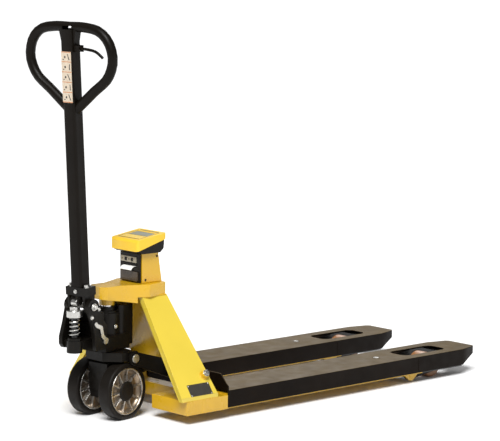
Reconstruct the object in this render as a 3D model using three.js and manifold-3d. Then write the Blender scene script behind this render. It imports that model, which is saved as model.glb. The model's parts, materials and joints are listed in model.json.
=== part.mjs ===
// Pallet scale: a hand pallet truck whose forks weigh the load. Millimetres, +Z up, +X towards the
// fork tips, the operator at -X. Built from the king pin (x = 0), then moved so that the origin is
// the middle of the footprint on the floor.
import * as THREE from 'three';
import { mergeVertices } from 'three/addons/utils/BufferGeometryUtils.js';
import Module from 'manifold-3d';

const wasm = await Module();
wasm.setup();

// ---- driving dimensions -------------------------------------------------------------------------
const WIDTH = 550; // over both forks
const FORK_LENGTH = 1152; // from the heel of a cover to its tip
const FORK_WIDTH = 167;
const FORK_TOP = 89; // height of the load faces, lowered
const HEEL_X = 259; // where the covers start, behind the king pin
const TIP_WIDTH = 130;
const TIP_TAPER = 80; // length of the tapered end
const TIP_CORNER = 10;
const NOSE_LOW = 68; // under side at the very tip
const COVER_WALL = 3;
const COVER_LOW = 35; // lower edge of a cover's sides
const INNER_LOW = 31; // lower edge of the inner fork and the base box
const INNER_WALL = 4;
const INNER_TOP = 78;
const BASE_WALL = 5;
const BASE_TOP = 75;
const BASE_FRONT = 92; // front end of a base box
const CUTOUT_LENGTH = 202; // roller cut-out in a cover
const CUTOUT_WIDTH = 84;
const UPSTAND_TOP = 137; // plate at the heel of a cover

const HOOD_TOP = 411;
const HOOD_WALL = 6;
const LEG_TOP_HALF = 68.8; // half the distance over the legs under the hood
const LEG_ROOT = 85; // height where the leaning face leaves the side of the truck
const LEG_FOOT = [72, 217]; // x of a leg's front and back edge at the foot
const LEG_HEAD = [86, 184];
const LEG_WALL = 6;
const LEG_FLANGE = 18;

const LIFT = 120; // lift of the forks
const WHEEL_R = 88.5;
const WHEEL_IN = 42; // inner and outer face of a steering wheel, from the middle
const WHEEL_OUT = 86;
const RIM_R = 73;
const AXLE_R = 10;
const RAM_R = 18;
const NECK_R = 28;
const STEER = THREE.MathUtils.degToRad(9.3); // the steering stands turned this far
const TILT = THREE.MathUtils.degToRad(3.5); // the handle leans back this far

const HANDLE_X = -116; // handle pivot, ahead of the king pin
const HANDLE_Z = 362;
const HANDLE_TUBE = 44; // square tube
const HANDLE_WALL = 3;
const HANDLE_LENGTH = 849; // pivot to the middle of the grip bar
const LOOP_HALF = 165.5; // widest half of the grip loop, to the tube's middle
const LOOP_TUBE_R = 15.5;
const CHEEK_IN = 36;
const CHEEK_OUT = 50;
const PISTON_X = -147;
const PISTON_CAP = 350; // top of the piston's cap
const PRESS_ARM = 28; // handle pivot to the press roller
const PRESS_ANGLE = THREE.MathUtils.degToRad(155);
const PRESS_R = 11;
const SPRING_LOW = 268;
const SPRING_HIGH = 330;
const SPRING_R = 14.5;
const SPRING_WIRE = 2.2;

const ROLLER_R = 40;
const ROLLER_HALF = 37.5;
const ROLLER_BACK = 183; // roller axle, back from the fork tip
const BRACKET_ARM = 124; // bracket pivot to the roller axle along the fork
const BRACKET_Z = 25; // height of the bracket pivot
const ROD_PIN = 40; // bracket pivot to the rod pin
const ROD_R = 8;
const ROD_SIDE = 30; // rod, inwards from the fork's middle line
const PIN_R = 9;
const CRANK_X = 225;
const CRANK_Z = 125;
const CRANK_TUBE_R = 23;
const ARM_IN = 90; // faces of the crank's front arms
const ARM_OUT = 101;
const YOKE_PIN_X = 30;
const YOKE_PIN_R = 9.5;

const COLUMN_FOOT = [100, 179];
const COLUMN_HEAD = [98, 164];
const COLUMN_HEIGHT = 93;
const COLUMN_HALF = 51.5;
const COLUMN_WALL = 3;
const HEAD_HALF = 66; // half the indicator's width

const GAP = 0.3; // between fixed pieces
const RUN = 0.4; // radial clearance of a turning pin

// ---- sizes that follow --------------------------------------------------------------------------
const HALF = WIDTH / 2;
const COLUMN_TOP = HOOD_TOP + COLUMN_HEIGHT;
const FORK_IN = HALF - FORK_WIDTH; // inner side of a fork
const FORK_MID = HALF - FORK_WIDTH / 2;
const TIP_X = HEEL_X + FORK_LENGTH;
const ROLLER_X = TIP_X - ROLLER_BACK;
const BRACKET_X = ROLLER_X - BRACKET_ARM;
const WHEEL_TOP = 2 * WHEEL_R;
const YOKE_LOW = WHEEL_TOP + 5.5;
const YOKE_PIN_Z = YOKE_LOW + 9.5;
const PUMP_LOW = YOKE_LOW + 30.5;
const PUMP_TOP = HOOD_TOP - 78;
const ROD_Y = FORK_MID - ROD_SIDE;
// The roller swings down by LIFT; the rod pin swings equally either side of upright.
const bracketRise = Math.atan2(ROLLER_R - BRACKET_Z, BRACKET_ARM);
const bracketArm = Math.hypot(ROLLER_R - BRACKET_Z, BRACKET_ARM);
const bracketFall = Math.asin((LIFT + BRACKET_Z - ROLLER_R) / bracketArm);
const bracketHalf = (bracketRise + bracketFall) / 2;
const rodTravel = 2 * ROD_PIN * Math.sin(bracketHalf);
const crankRise = Math.atan2(YOKE_PIN_Z - CRANK_Z, CRANK_X - YOKE_PIN_X);
const crankFall = Math.atan2(LIFT + CRANK_Z - YOKE_PIN_Z, CRANK_X - YOKE_PIN_X);
const crankHalf = (crankRise + crankFall) / 2;
const crankLever = rodTravel / 2 / Math.sin(crankHalf);
const rodFrontX = CRANK_X - rodTravel / 2;
const rodFrontZ = CRANK_Z - crankLever * Math.cos(crankHalf);
const rodBackX = BRACKET_X - rodTravel / 2;
const rodBackZ = BRACKET_Z + ROD_PIN * Math.cos(bracketHalf);

// ---- solids -------------------------------------------------------------------------------------
const toSolid = (g) => {
  if (g instanceof wasm.Manifold) return g;
  const bare = new THREE.BufferGeometry();
  const flat = g.index ? g.toNonIndexed() : g;
  bare.setAttribute('position', flat.getAttribute('position'));
  const m = mergeVertices(bare, 1e-4);
  return new wasm.Manifold(new wasm.Mesh({
    numProp: 3,
    vertProperties: new Float32Array(m.attributes.position.array),
    triVerts: new Uint32Array(m.index.array),
  }));
};
const join = (...g) => g.flat().map(toSolid).reduce((a, b) => a.add(b));
const cut = (a, ...b) => toSolid(a).subtract(join(...b));
const common = (a, b) => toSolid(a).intersect(toSolid(b));

const block = (x0, x1, y0, y1, z0, z1) =>
  new THREE.BoxGeometry(x1 - x0, y1 - y0, z1 - z0)
    .translate((x0 + x1) / 2, (y0 + y1) / 2, (z0 + z1) / 2);
const rodX = (x0, x1, y, z, r, n = 24) =>
  new THREE.CylinderGeometry(r, r, x1 - x0, n).rotateZ(-Math.PI / 2).translate((x0 + x1) / 2, y, z);
const rodY = (x, y0, y1, z, r, n = 24) =>
  new THREE.CylinderGeometry(r, r, y1 - y0, n).translate(x, (y0 + y1) / 2, z);
const rodZ = (x, y, z0, z1, r, n = 24) =>
  new THREE.CylinderGeometry(r, r, z1 - z0, n).rotateX(Math.PI / 2).translate(x, y, (z0 + z1) / 2);
const outline = (pts) => new THREE.Shape(pts.map(([a, b]) => new THREE.Vector2(a, b)));
const slab = (shape, depth, curve = 5) =>
  new THREE.ExtrudeGeometry(Array.isArray(shape) ? outline(shape) : shape,
    { depth, bevelEnabled: false, curveSegments: curve });
const plan = (pts, z0, z1, curve) => slab(pts, z1 - z0, curve).translate(0, 0, z0);
const side = (pts, y0, y1, curve) =>
  slab(pts, y1 - y0, curve).rotateX(Math.PI / 2).translate(0, y1, 0);
const across = (pts, x0, x1, curve) =>
  slab(pts, x1 - x0, curve)
    .applyMatrix4(new THREE.Matrix4().makeBasis(
      new THREE.Vector3(0, 1, 0), new THREE.Vector3(0, 0, 1), new THREE.Vector3(1, 0, 0)))
    .translate(x0, 0, 0);
// Rectangle with round corners.
const rounded = (x0, x1, y0, y1, r) => {
  const s = new THREE.Shape();
  s.absarc(x1 - r, y1 - r, r, 0, Math.PI / 2);
  s.absarc(x0 + r, y1 - r, r, Math.PI / 2, Math.PI);
  s.absarc(x0 + r, y0 + r, r, Math.PI, 1.5 * Math.PI);
  s.absarc(x1 - r, y0 + r, r, 1.5 * Math.PI, 2 * Math.PI);
  return s;
};
// Bar with round ends of two radii around two centres.
const link = (x0, z0, r0, x1, z1, r1, n = 10) => {
  const a = Math.atan2(z1 - z0, x1 - x0);
  const t = Math.acos((r0 - r1) / Math.hypot(x1 - x0, z1 - z0));
  const pts = [];
  for (let i = 0; i <= n; i++) {
    const b = a + t + (2 * Math.PI - 2 * t) * (i / n);
    pts.push([x0 + r0 * Math.cos(b), z0 + r0 * Math.sin(b)]);
  }
  for (let i = 0; i <= n; i++) {
    const b = a - t + 2 * t * (i / n);
    pts.push([x1 + r1 * Math.cos(b), z1 + r1 * Math.sin(b)]);
  }
  return pts;
};
const turned = (profile, n) => // profile of [radius, height], turned round Z
  new THREE.LatheGeometry(profile.map(([r, h]) => new THREE.Vector2(r, h)), n).rotateX(Math.PI / 2);
const pipe = (curve, r, n, steps) => {
  const s = new THREE.Shape();
  s.absarc(0, 0, r, 0, 2 * Math.PI);
  return new THREE.ExtrudeGeometry(s,
    { steps, curveSegments: n, bevelEnabled: false, extrudePath: curve });
};

const paint = (color, metalness, roughness) =>
  new THREE.MeshStandardMaterial({ color, metalness, roughness });
const YELLOW = paint(0xf2c21a, 0.0, 0.4);
const BLACK = paint(0x1c1c1e, 0.0, 0.5);
const STEEL = paint(0xa8aaad, 0.9, 0.35);
const CHROME = paint(0xd0d2d4, 1.0, 0.12);
const ALU = paint(0xb9bcc0, 0.9, 0.4);
const RUBBER = paint(0x202020, 0.0, 0.85);
const PU = paint(0x7a4a2c, 0.0, 0.55);
const PLASTIC = paint(0x232427, 0.0, 0.6);
const GREY = paint(0x8f958a, 0.0, 0.3);
const PAPER = paint(0xf4f3ee, 0.0, 0.9);

const root = new THREE.Group();
const steering = new THREE.Group();
steering.rotation.z = STEER;
const handle = new THREE.Group();
handle.position.set(HANDLE_X, 0, HANDLE_Z);
handle.rotation.y = -TILT;
root.add(steering);
steering.add(handle);

const put = (group, name, shape, material) => {
  const m = toSolid(shape).getMesh();
  const v = new Float32Array(m.numVert * 3);
  for (let i = 0; i < m.numVert; i++) {
    v.set(m.vertProperties.subarray(i * m.numProp, i * m.numProp + 3), i * 3);
  }
  const g = new THREE.BufferGeometry();
  g.setAttribute('position', new THREE.BufferAttribute(v, 3));
  g.setIndex(new THREE.BufferAttribute(new Uint32Array(m.triVerts), 1));
  const mesh = new THREE.Mesh(g.toNonIndexed(), material);
  mesh.geometry.computeVertexNormals();
  mesh.name = name;
  group.add(mesh);
};
const mirror = (s) => toSolid(s).mirror([0, 1, 0]);
const sides = [['left', (s) => toSolid(s)], ['right', mirror]]; // left is +Y

// ---- forks --------------------------------------------------------------------------------------
// Plan of a fork, drawn at +Y, shrunk all round by d and cut back from the heel by b.
const forkPlan = (d, b = 0) => {
  const w = FORK_WIDTH / 2 - d;
  const t = TIP_WIDTH / 2 - d * 0.8;
  const e = TIP_X - d;
  return [
    [HEEL_X + b, FORK_MID - w], [TIP_X - TIP_TAPER, FORK_MID - w],
    [e - TIP_CORNER, FORK_MID - t], [e, FORK_MID - t + TIP_CORNER],
    [e, FORK_MID + t - TIP_CORNER], [e - TIP_CORNER, FORK_MID + t],
    [TIP_X - TIP_TAPER, FORK_MID + w], [HEEL_X + b, FORK_MID + w],
  ];
};
const CUT_BACK = ROLLER_X - 136;
const CUT_FRONT = CUT_BACK + CUTOUT_LENGTH;
const cutoutPlan = (x0, x1, half, r) => rounded(x0, x1, FORK_MID - half, FORK_MID + half, r);
const BOLT_X = TIP_X - 416; // screw over the front load cell
const nose = (d) => side([[TIP_X - TIP_TAPER, COVER_LOW - 30], [TIP_X + 5, COVER_LOW - 30],
  [TIP_X + 5, NOSE_LOW + 2 + d], [TIP_X - TIP_TAPER, COVER_LOW - 1 + d]],
FORK_MID - 100, FORK_MID + 100);

const cover = cut(
  join(
    cut(plan(forkPlan(0), COVER_LOW, FORK_TOP),
      plan(forkPlan(COVER_WALL, -10), COVER_LOW - 5, FORK_TOP - COVER_WALL)),
    across([[FORK_IN, FORK_TOP - 3], [HALF, FORK_TOP - 3], [HALF, UPSTAND_TOP - 34],
      [HALF - 11, UPSTAND_TOP - 26], [HALF - 36, UPSTAND_TOP], [FORK_IN, UPSTAND_TOP]],
    HEEL_X, HEEL_X + 4)),
  plan(cutoutPlan(CUT_BACK, CUT_FRONT, CUTOUT_WIDTH / 2, 26), FORK_TOP - 10, FORK_TOP + 5),
  rodZ(BOLT_X, FORK_MID, FORK_TOP - 10, FORK_TOP + 5, 10.5, 20),
  nose(0));

// The inner fork carries the load cells, the bracket pivot lugs and the bulkhead in front of them.
const CELL_LENGTH = 130;
const CELL_HALF = 16;
const CELL_X = [HEEL_X + 60, BOLT_X - 72]; // back end of the heel cell and of the tip cell
const CELL_LOW = 56;
const innerEnd = TIP_X - 22;
const rodHole = block(HEEL_X, BRACKET_X + 60, ROD_Y - 13, ROD_Y + 13, 40, INNER_TOP + 5);
const lug = side([[BRACKET_X - 46, INNER_TOP], [BRACKET_X + 38, INNER_TOP - 6],
  [BRACKET_X + 36, INNER_LOW], [BRACKET_X + 9, 8], [BRACKET_X, 6], [BRACKET_X - 9, 8],
  [BRACKET_X - 36, INNER_LOW], [BRACKET_X - 46, 46]], FORK_MID + 52, FORK_MID + 60);
const inner = cut(
  join(
    cut(common(plan(forkPlan(COVER_WALL + 2, GAP), INNER_LOW, INNER_TOP),
      block(HEEL_X, innerEnd, 0, HALF, 0, FORK_TOP)),
    cut(plan(forkPlan(COVER_WALL + 2 + INNER_WALL, -10), INNER_LOW - 5, INNER_TOP - INNER_WALL),
      block(BRACKET_X - 48, BRACKET_X - 42, 0, HALF, 36, FORK_TOP),
      CELL_X.map((x) => block(x - 4, x + CELL_LENGTH + 4, FORK_MID - 20, HALF,
        CELL_LOW - 5.6, CELL_LOW - 0.6))),
    block(BRACKET_X - 42, CUT_FRONT + 4, FORK_MID - 64, FORK_MID + 64,
      INNER_TOP - 10, INNER_TOP + 5),
    CELL_X.map((x) => block(x - 2, x + CELL_LENGTH + 2, FORK_MID - CELL_HALF - 2,
      FORK_MID + CELL_HALF + 2, CELL_LOW - GAP, FORK_TOP))),
    lug, toSolid(lug).translate([0, -112, 0])),
  cut(rodHole, block(HEEL_X - 1, BRACKET_X - 49, 0, HALF, INNER_TOP - INNER_WALL, FORK_TOP),
    block(BRACKET_X - 41, BRACKET_X + 90, 0, HALF, 0, FORK_TOP)),
  rodY(BRACKET_X, FORK_MID - 70, FORK_MID + 70, BRACKET_Z, PIN_R + 0.1),
  nose(3));

const cell = (x) => cut(
  block(x, x + CELL_LENGTH, FORK_MID - CELL_HALF, FORK_MID + CELL_HALF, CELL_LOW, FORK_TOP - 5),
  rodY(x + 52, 0, HALF, CELL_LOW + 12, 7.5, 16), rodY(x + 78, 0, HALF, CELL_LOW + 12, 7.5, 16),
  block(x + 52, x + 78, 0, HALF, CELL_LOW + 10, CELL_LOW + 14));

// ---- frame --------------------------------------------------------------------------------------
const baseTop = BASE_TOP;
const crankLugY = FORK_IN + 4;
const base = cut(
  join(
    cut(block(BASE_FRONT, HEEL_X - GAP, FORK_IN, HALF, INNER_LOW, baseTop),
      block(BASE_FRONT + BASE_WALL, HEEL_X + 5, FORK_IN + BASE_WALL, HALF - BASE_WALL,
        INNER_LOW - 5, baseTop - BASE_WALL)),
    side([[CRANK_X - 32, baseTop - 2], [CRANK_X - 30, CRANK_Z + 8], [CRANK_X - 14, CRANK_Z + 29],
      [CRANK_X + 14, CRANK_Z + 29], [CRANK_X + 30, CRANK_Z + 8], [CRANK_X + 32, baseTop - 2]],
    crankLugY, crankLugY + 12)),
  rodY(CRANK_X, 0, HALF, CRANK_Z, CRANK_TUBE_R + RUN, 32),
  block(CRANK_X - 54, HEEL_X + 5, ROD_Y - 16, ROD_Y + 16, baseTop - 8, baseTop + 5));

const crossBox = cut(block(CRANK_X - 22, HEEL_X - 6, -FORK_IN + GAP, FORK_IN - GAP, 34, baseTop),
  block(CRANK_X - 17, HEEL_X - 11, -FORK_IN + 6, FORK_IN - 6, 20, baseTop - 5));

// A leg leans in from the outer side of the base box to the hood; a web with two flanges.
const legTop = HOOD_TOP - 39;
const legRun = HALF - LEG_TOP_HALF;
const legRise = legTop - LEG_ROOT;
const legLong = Math.hypot(legRun, legRise);
const legPoint = (u, v, n) => // u along X, v up the slope from the foot, n out from the face
  [u, HALF - (legRun * v) / legLong + (legRise * n) / legLong,
    LEG_ROOT + (legRise * v) / legLong + (legRun * n) / legLong];
const legBasis = new THREE.Matrix4().makeBasis(
  new THREE.Vector3(-1, 0, 0),
  new THREE.Vector3(0, -legRun / legLong, legRise / legLong),
  new THREE.Vector3(0, legRise / legLong, legRun / legLong));
const onLeg = (pts, n0, n1) =>
  slab(pts.map(([u, v]) => [-u, v]).reverse(), n1 - n0).translate(0, 0, n0)
    .applyMatrix4(legBasis).translate(0, HALF, LEG_ROOT);
const edge = (i, v) => LEG_FOOT[i] + ((LEG_HEAD[i] - LEG_FOOT[i]) * v) / legLong;
const strip = (f0, f1, n0, n1) =>
  onLeg([[f0(-60), -60], [f1(-60), -60], [f1(legLong + 60), legLong + 60],
    [f0(legLong + 60), legLong + 60]], n0, n1);
const LEG_BOLT = [192, 67]; // bolt on a leg: x, and how far up the slope
const leg = cut(
  common(
    join(
      strip((v) => edge(0, v), (v) => edge(1, v), -LEG_WALL, 0),
      strip((v) => edge(0, v), (v) => edge(0, v) + LEG_WALL + 2, -LEG_FLANGE, 0),
      strip((v) => edge(1, v) - LEG_WALL - 2, (v) => edge(1, v), -LEG_FLANGE, 0),
      block(LEG_FOOT[0], LEG_FOOT[1], HALF - LEG_WALL - 1.5, HALF, BASE_TOP, LEG_ROOT + 3)),
    block(0, HEEL_X, 0, HALF, BASE_TOP + GAP, legTop - GAP)),
  block(0, HEEL_X, HALF - 0.01, HALF + 50, 0, 400));
const discOn = (u, v, r, n0, n1, k) => {
  const [x, y, z] = legPoint(u, v, (n0 + n1) / 2);
  return new THREE.CylinderGeometry(r, r, n1 - n0, k)
    .rotateX(Math.atan2(legRun, legRise)).translate(x, y, z);
};

const webIn = (z) => HALF - (z - LEG_ROOT) * (legRun / legRise) - LEG_WALL * (legLong / legRise) - 1;
const PLATE_LOW = 178;
const TONGUE_LOW = 134; // lower edge of the plate between the crank's arms
const backPlate = across([[-webIn(PLATE_LOW), PLATE_LOW], [-ARM_IN + 6, PLATE_LOW],
  [-ARM_IN + 6, TONGUE_LOW], [ARM_IN - 6, TONGUE_LOW], [ARM_IN - 6, PLATE_LOW],
  [webIn(PLATE_LOW), PLATE_LOW],
  [webIn(legTop - 2), legTop - 2], [-webIn(legTop - 2), legTop - 2]], 166, 171);

const SKIRT_RISE = 21; // how much shallower the hood's skirt is at its front
const hoodPlan = (d) => [[-46 + d, -22 + d * 0.4], [-46 + d, 22 - d * 0.4], [-28 + d * 0.6, 40 - d],
  [24, 40 - d], [107, 80 - d], [182 - d, 65 - d], [182 - d, -65 + d], [107, -80 + d], [24, -40 + d],
  [-28 + d * 0.6, -40 + d]];
const hood = cut(
  join(
    cut(plan(hoodPlan(0), HOOD_TOP - 57, HOOD_TOP),
      plan(hoodPlan(HOOD_WALL), HOOD_TOP - 70, HOOD_TOP - HOOD_WALL),
      side([[-60, HOOD_TOP - 70], [72, HOOD_TOP - 70], [72, HOOD_TOP - 57],
        [-60, HOOD_TOP - 57 + SKIRT_RISE]], -100, 100)),
    rodZ(0, 0, HOOD_TOP - 61, HOOD_TOP - 3, RAM_R + 6, 32)),
  rodZ(0, 0, HOOD_TOP - 80, HOOD_TOP - HOOD_WALL, RAM_R + RUN, 32),
  block(72, 200, -100, 100, HOOD_TOP - 70, legTop));

// ---- column, printer and indicator --------------------------------------------------------------
// The printer and the indicator are drawn with the hood's top at 411 and go up and down with it.
const onHood = (s) => toSolid(s).translate([0, 0, HOOD_TOP - 411]);
const columnLow = HOOD_TOP + GAP;
const columnX = (i, z) =>
  COLUMN_FOOT[i] + ((COLUMN_HEAD[i] - COLUMN_FOOT[i]) * (z - HOOD_TOP)) / (COLUMN_TOP - HOOD_TOP);
const columnSide = (d, z0, z1) => [[columnX(0, z0) + d, z0], [columnX(1, z0) - d, z0],
  [columnX(1, z1) - d, z1], [columnX(0, z1) + d, z1]];
const column = cut(side(columnSide(0, columnLow, COLUMN_TOP), -COLUMN_HALF, COLUMN_HALF),
  side(columnSide(COLUMN_WALL, columnLow - 1, COLUMN_TOP - COLUMN_WALL),
    -COLUMN_HALF + COLUMN_WALL, COLUMN_HALF - COLUMN_WALL),
  onHood(block(90, 112, -44, 44, 420, 498)));

const DOOR_Z = [418, 446];
const BUTTON_Z = 482;
const BUTTON_Y = [20, -10];
const panelFace = 93;
const panel = cut(
  join(
    plan(rounded(panelFace, 97.4, -49, 49, 2), 414, 502),
    block(96, 140, -42, 42, 423, 496),
    block(90.5, 96, -34, 34, 466.5, 470)),
  block(88, 104, -29, 29, 461, 465.4),
  block(90, 136, -34, 34, DOOR_Z[0] + 6, DOOR_Z[1] - 2),
  BUTTON_Y.map((y) => rodX(90, 98.5, y, BUTTON_Z, 5.4, 16)));
const door = join(
  block(panelFace - 4.4, panelFace - GAP, -40, 40, DOOR_Z[0] + 1, DOOR_Z[1]),
  rodY(panelFace - 3.2, -38, 38, DOOR_Z[0] + 0.5, 2.8, 12));
const paper = side([[103.5, 462.9], [86, 462.6], [79, 459.5], [74, 452], [74.7, 451.6],
  [79.6, 458.9], [86.2, 461.9], [103.5, 462.2]], -27, 27);
const roll = rodY(118, -28, 28, 432.7, 8.4, 20);

const headLow = 411 + COLUMN_HEIGHT + GAP;
const headSplit = (x) => 514 + (x - 72) * 0.279;
const headPlan = (d) => rounded(67 + d, 187 - d, -HEAD_HALF + d, HEAD_HALF - d, 12 - d / 2);
const headTop = (x) => 549 + (x - 78) * 0.147;
const headUpper = cut(
  common(
    side([[67, headSplit(67) + GAP], [187, headSplit(187) + GAP], [187, headTop(182)],
      [183, headTop(183)], [75, headTop(75)], [68, 541]], -HEAD_HALF, HEAD_HALF),
    plan(headPlan(0), 480, 600, 4)),
  common(side([[60, headSplit(60) - 5], [200, headSplit(200) - 5], [200, headTop(200) - 4],
    [60, headTop(60) - 4]], -HEAD_HALF - 5, HEAD_HALF + 5), plan(headPlan(4), 480, 600, 4)),
  side([[122, headTop(122) - 2.6], [160, headTop(160) - 2.6], [160, 580], [122, 580]], -45, 45));
const headLower = common(
  side([[72, headSplit(72) - GAP], [90, headLow], [162, headLow], [176, 516],
    [182, headSplit(182) - GAP]], -HEAD_HALF + 3, HEAD_HALF - 3),
  plan(headPlan(3), 480, 600, 4));
const screen = side([[123, headTop(123) - 2.3], [159, headTop(159) - 2.3],
  [159, headTop(159) - 0.6], [123, headTop(123) - 0.6]], -44, 44);

// ---- ram, yoke and pump -------------------------------------------------------------------------
const ramLow = YOKE_LOW + 8;
const ram = rodZ(0, 0, ramLow, HOOD_TOP - HOOD_WALL - GAP, RAM_R, 32);
const yoke = cut(
  plan([[-50, -40], [-8, -ARM_IN + 5], [54, -ARM_IN + 5], [54, ARM_IN - 5], [-8, ARM_IN - 5],
    [-50, 40]], YOKE_LOW, YOKE_LOW + 27),
  rodZ(0, 0, 0, HOOD_TOP, NECK_R + RUN, 32),
  rodY(YOKE_PIN_X, 49.5, HALF, YOKE_PIN_Z, YOKE_PIN_R + 0.3),
  rodY(YOKE_PIN_X, -HALF, -49.5, YOKE_PIN_Z, YOKE_PIN_R + 0.3));
const yokePin = join( // a stub on each side, pressed into the yoke
  rodY(YOKE_PIN_X, 50, ARM_OUT + 4, YOKE_PIN_Z, YOKE_PIN_R),
  rodY(YOKE_PIN_X, ARM_OUT + 1, ARM_OUT + 6, YOKE_PIN_Z, 13.5));

const cheek = side([[-56, PUMP_LOW + 12], [-56, 300], [-74, 322], [-95, HANDLE_Z + 14],
  [-104, HANDLE_Z + 21], [HANDLE_X, HANDLE_Z + 24], [-128, HANDLE_Z + 21], [-137, HANDLE_Z + 12],
  [-140, HANDLE_Z], [-136, HANDLE_Z - 14], [-122, 318], [-112, 280], [-104, PUMP_LOW + 12]],
CHEEK_IN, CHEEK_OUT);
const pump = cut(
  join(
    side([[-30, WHEEL_R - 26], [30, WHEEL_R - 26], [40, WHEEL_R], [40, YOKE_LOW - 10],
      [34, YOKE_LOW - 6], [-34, YOKE_LOW - 6], [-40, YOKE_LOW - 10], [-40, WHEEL_R]], -37, 37),
    rodZ(0, 0, YOKE_LOW - 10, PUMP_LOW + 5, NECK_R, 32),
    plan([[-66, -36], [-56, -46], [54, -46], [62, -40], [62, 40], [54, 46], [-56, 46], [-66, 36]],
      PUMP_LOW, PUMP_LOW + 48),
    rodZ(0, 0, PUMP_LOW + 20, PUMP_TOP - 6, 41, 32),
    rodZ(0, 0, PUMP_TOP - 8, PUMP_TOP, 34, 32),
    rodZ(0, 0, PUMP_TOP - 2, HOOD_TOP - 66, RAM_R + 8, 32),
    plan(rounded(16, 80, -44, 44, 14), PUMP_LOW + 11, HOOD_TOP - 62, 4),
    cheek, mirror(cheek),
    side([[-100, PUMP_LOW + 12], [-154, PUMP_LOW + 20], [-163, PUMP_LOW + 32], [-163, 268],
      [-148, 312], [-138, 352], [-104, 352]], CHEEK_IN, CHEEK_OUT),
    block(-72, -54, -CHEEK_OUT, CHEEK_OUT, PUMP_LOW + 12, 300),
    block(-68, -58, -CHEEK_IN - 4, CHEEK_IN + 4, 290, 338),
    side([[PISTON_X - 4, PUMP_LOW + 23], [-68, PUMP_LOW], [-56, PUMP_LOW], [-56, PUMP_LOW + 46],
      [PISTON_X - 4, PUMP_LOW + 44]], -20, CHEEK_OUT),
    rodZ(PISTON_X, 0, PUMP_LOW + 8, SPRING_LOW - 10, 24, 28),
    rodZ(PISTON_X, 0, PUMP_LOW + 14, SPRING_LOW - 2, 21, 28)),
  rodZ(0, 0, ramLow - 3, HOOD_TOP, RAM_R + RUN, 32),
  cut(rodZ(0, 0, PUMP_TOP + 0.5, HOOD_TOP, RAM_R + 17, 32),
    rodZ(0, 0, PUMP_TOP, HOOD_TOP - 66, RAM_R + 8, 32)),
  rodZ(PISTON_X, 0, PUMP_LOW + 14, PISTON_CAP, 9 + RUN, 20),
  rodY(HANDLE_X, -HALF, HALF, HANDLE_Z, 8 + RUN, 20),
  rodY(0, -HALF, HALF, WHEEL_R, AXLE_R + RUN, 20));

const axle = join(rodY(0, -WHEEL_OUT + 1, WHEEL_OUT - 1, WHEEL_R, AXLE_R, 20));
const tyre = cut(
  turned([[0, WHEEL_IN], [WHEEL_R - 4, WHEEL_IN], [WHEEL_R - 1.2, WHEEL_IN + 1.4],
    [WHEEL_R, WHEEL_IN + 5], [WHEEL_R, WHEEL_OUT - 5], [WHEEL_R - 1.2, WHEEL_OUT - 1.4],
    [WHEEL_R - 4, WHEEL_OUT], [0, WHEEL_OUT]], 40).rotateX(-Math.PI / 2),
  rodY(0, 0, HALF, 0, RIM_R, 40));
const hubMid = (WHEEL_IN + WHEEL_OUT) / 2;
const hub = cut(
  join(
    cut(rodY(0, WHEEL_IN + 1, WHEEL_OUT - 1, 0, RIM_R - GAP, 40),
      rodY(0, 0, HALF, 0, RIM_R - 9, 40)),
    rodY(0, hubMid - 3, hubMid + 3, 0, RIM_R - 5, 24),
    rodY(0, WHEEL_IN + 1, WHEEL_OUT - 1, 0, 27, 24),
    [...Array(10).keys()].map((i) =>
      block(20, RIM_R - 5, hubMid - 11, hubMid + 11, -2.6, 2.6).rotateY((i * Math.PI) / 5))),
  rodY(0, 0, HALF, 0, AXLE_R + RUN, 20));

const pistonTop = HANDLE_Z + PRESS_ARM * Math.sin(PRESS_ANGLE) - PRESS_R - 0.9;
const piston = cut(
  join(
    rodZ(PISTON_X, 0, PUMP_LOW + 46, PISTON_CAP - 4, 9, 20),
    rodZ(PISTON_X, 0, PISTON_CAP - 20, PISTON_CAP, 24, 28),
    rodZ(PISTON_X, 0, PISTON_CAP - 4, pistonTop, 14, 20)),
  cut(rodZ(PISTON_X, 0, PISTON_CAP - 25, PISTON_CAP - 16, 21, 28),
    rodZ(PISTON_X, 0, PISTON_CAP - 30, PISTON_CAP, 9, 20)));
class Helix extends THREE.Curve {
  constructor(r, z0, z1, turns) {
    super();
    Object.assign(this, { r, z0, z1, turns });
  }

  getPoint(t, out = new THREE.Vector3()) {
    const a = 2 * Math.PI * this.turns * t;
    return out.set(this.r * Math.cos(a), this.r * Math.sin(a), this.z0 + (this.z1 - this.z0) * t);
  }
}
const spring = pipe(
  new Helix(SPRING_R, SPRING_LOW + SPRING_WIRE, SPRING_HIGH - SPRING_WIRE, 4.5),
  SPRING_WIRE, 3, 60).translate(PISTON_X, 0, 0);

const stripPath = [[-109, 309], [-104, 303], [-85, 295], [-78, 268], [-61, 252]];
const release = join(
  stripPath.slice(1).map((p, i) => side(link(...stripPath[i], 6, ...p, 6.01, 6), -54.5, -51.5)),
  side(link(-64, 250, 9, -61, 252, 9, 8), -54.5, -51));

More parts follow.
